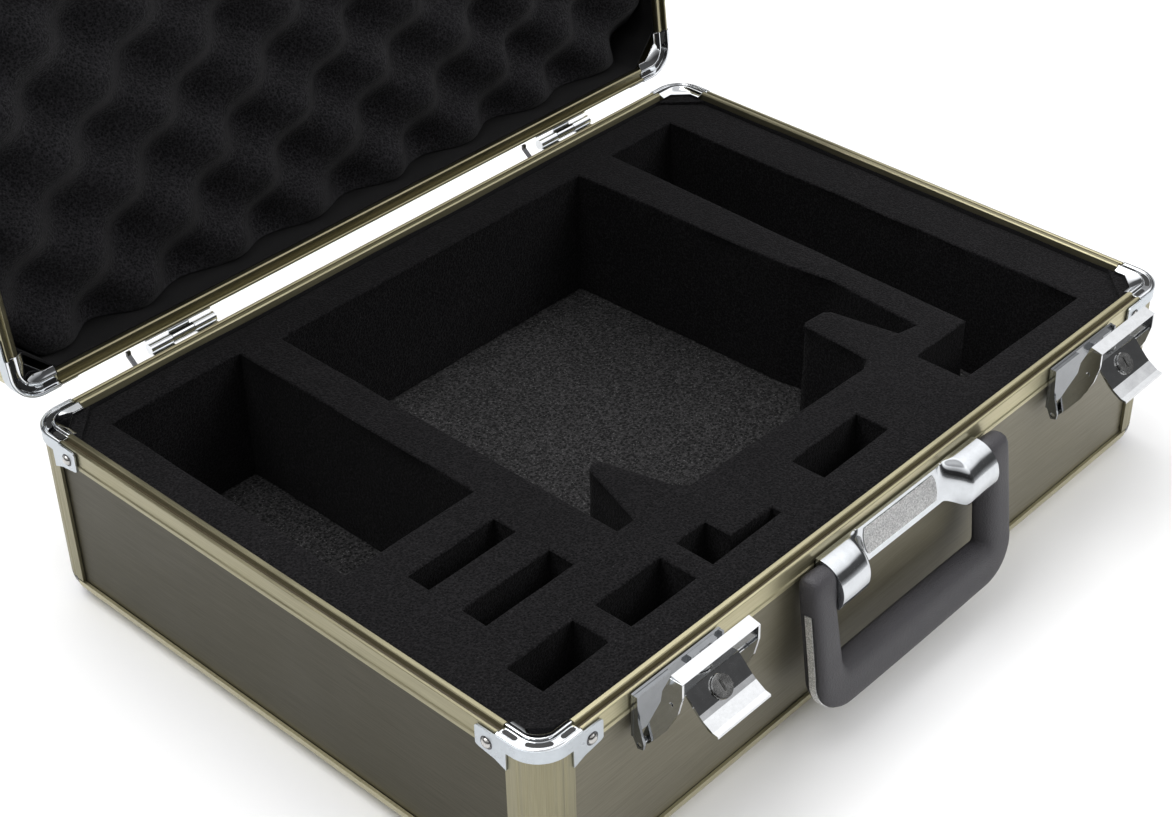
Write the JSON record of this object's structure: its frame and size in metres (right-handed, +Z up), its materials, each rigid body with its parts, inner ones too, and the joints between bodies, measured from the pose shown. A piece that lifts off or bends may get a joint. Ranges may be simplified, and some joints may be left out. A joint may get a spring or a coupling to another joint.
{
  "type": "aluminium framed carrying case",
  "caption": "Hard carrying case with aluminium edges, open hinged lid, pocketed foam, toggle latches with key locks and a swinging handle.",
  "frame": {"origin": "centre of the base's flat underside", "axes": "+X along the front towards the right latch, +Y from the front to the hinges, +Z up"},
  "size_m": [0.4622, 0.4563, 0.4409],
  "materials": {
    "laminate": "satin",
    "champagne_aluminium": "anodised",
    "chrome": "polished",
    "grey_plastic": "matte",
    "dark_steel": "blackened",
    "steel": "satin",
    "black_foam": "open cell foam",
    "grey_rubber": "soft matte"
  },
  "bodies": {
    "base": {"base_panel_front": "laminate", "base_rim_rail_front": "champagne_aluminium", "base_panel_right": "laminate", "base_rim_rail_right": "champagne_aluminium", "base_panel_back": "laminate", "base_rim_rail_back": "champagne_aluminium", "base_panel_left": "laminate", "base_rim_rail_left": "champagne_aluminium", "base_panel_bottom": "laminate", "base_bottom_frame": "champagne_aluminium", "base_foam_block": "black_foam", "base_post_front_left": "champagne_aluminium", "base_rim_cap_front_left": "chrome", "base_ball_corner_front_left": "grey_plastic", "base_post_front_right": "champagne_aluminium", "base_rim_cap_front_right": "chrome", "base_ball_corner_front_right": "grey_plastic", "base_post_back_right": "champagne_aluminium", "base_rim_cap_back_right": "chrome", "base_ball_corner_back_right": "grey_plastic", "base_post_back_left": "champagne_aluminium", "base_rim_cap_back_left": "chrome", "base_ball_corner_back_left": "grey_plastic", "hinge_base_leaf_left": "chrome", "lid_stop_left": "dark_steel", "latch_plate_left": "chrome", "hinge_base_leaf_right": "chrome", "lid_stop_right": "dark_steel", "latch_plate_right": "chrome", "handle_bracket": "chrome"},
    "lid": {"lid_panel_front": "laminate", "lid_rim_rail_front": "champagne_aluminium", "lid_panel_right": "laminate", "lid_rim_rail_right": "champagne_aluminium", "lid_panel_back": "laminate", "lid_rim_rail_back": "champagne_aluminium", "lid_panel_left": "laminate", "lid_rim_rail_left": "champagne_aluminium", "lid_panel_top": "laminate", "lid_edge_frame": "champagne_aluminium", "lid_foam_sheet": "black_foam", "lid_rim_cap_front_left": "chrome", "lid_ball_corner_front_left": "grey_plastic", "lid_rim_cap_front_right": "chrome", "lid_ball_corner_front_right": "grey_plastic", "lid_rim_cap_back_right": "chrome", "lid_ball_corner_back_right": "grey_plastic", "lid_rim_cap_back_left": "chrome", "lid_ball_corner_back_left": "grey_plastic", "hinge_lid_leaf_left": "chrome", "lid_catch_left": "chrome", "hinge_lid_leaf_right": "chrome", "lid_catch_right": "chrome"},
    "latch_bail_left": {"latch_bail_left": "chrome"},
    "latch_lever_left": {"latch_lever_left": "chrome"},
    "key_cylinder_left": {"key_cylinder_left": "steel"},
    "latch_bail_right": {"latch_bail_right": "chrome"},
    "latch_lever_right": {"latch_lever_right": "chrome"},
    "key_cylinder_right": {"key_cylinder_right": "steel"},
    "handle_grip": {"handle_grip": "grey_rubber"}
  },
  "joints": [
    {"name": "lid_hinge", "type": "hinge", "parent": "base", "child": "lid", "pos_m": [0, 0.1702, 0.1], "axis": [1, 0, 0], "range_deg": [0, 96]},
    {"name": "latch_bail_swing_left", "type": "hinge", "parent": "base", "child": "latch_bail_left", "pos_m": [-0.1512, -0.1698, 0.0735], "axis": [1, 0, 0], "range_deg": [-14.6, 0]},
    {"name": "latch_lever_swing_left", "type": "hinge", "parent": "latch_bail_left", "child": "latch_lever_left", "pos_m": [-0.1512, -0.18399, 0.1029], "axis": [1, 0, 0], "range_deg": [-8, 74]},
    {"name": "key_turn_left", "type": "hinge", "parent": "latch_lever_left", "child": "key_cylinder_left", "pos_m": [-0.1512, -0.1884, 0.0984], "axis": [0, -0.7145, 0.6997], "range_deg": [0, 90]},
    {"name": "latch_bail_swing_right", "type": "hinge", "parent": "base", "child": "latch_bail_right", "pos_m": [0.1512, -0.1698, 0.0735], "axis": [1, 0, 0], "range_deg": [-14.6, 0]},
    {"name": "latch_lever_swing_right", "type": "hinge", "parent": "latch_bail_right", "child": "latch_lever_right", "pos_m": [0.1512, -0.18399, 0.1029], "axis": [1, 0, 0], "range_deg": [-8, 74]},
    {"name": "key_turn_right", "type": "hinge", "parent": "latch_lever_right", "child": "key_cylinder_right", "pos_m": [0.1512, -0.1884, 0.0984], "axis": [0, -0.7145, 0.6997], "range_deg": [0, 90]},
    {"name": "handle_swing", "type": "hinge", "parent": "base", "child": "handle_grip", "pos_m": [0, -0.1722, 0.088], "axis": [-1, 0, 0], "range_deg": [0, 90]}
  ]
}
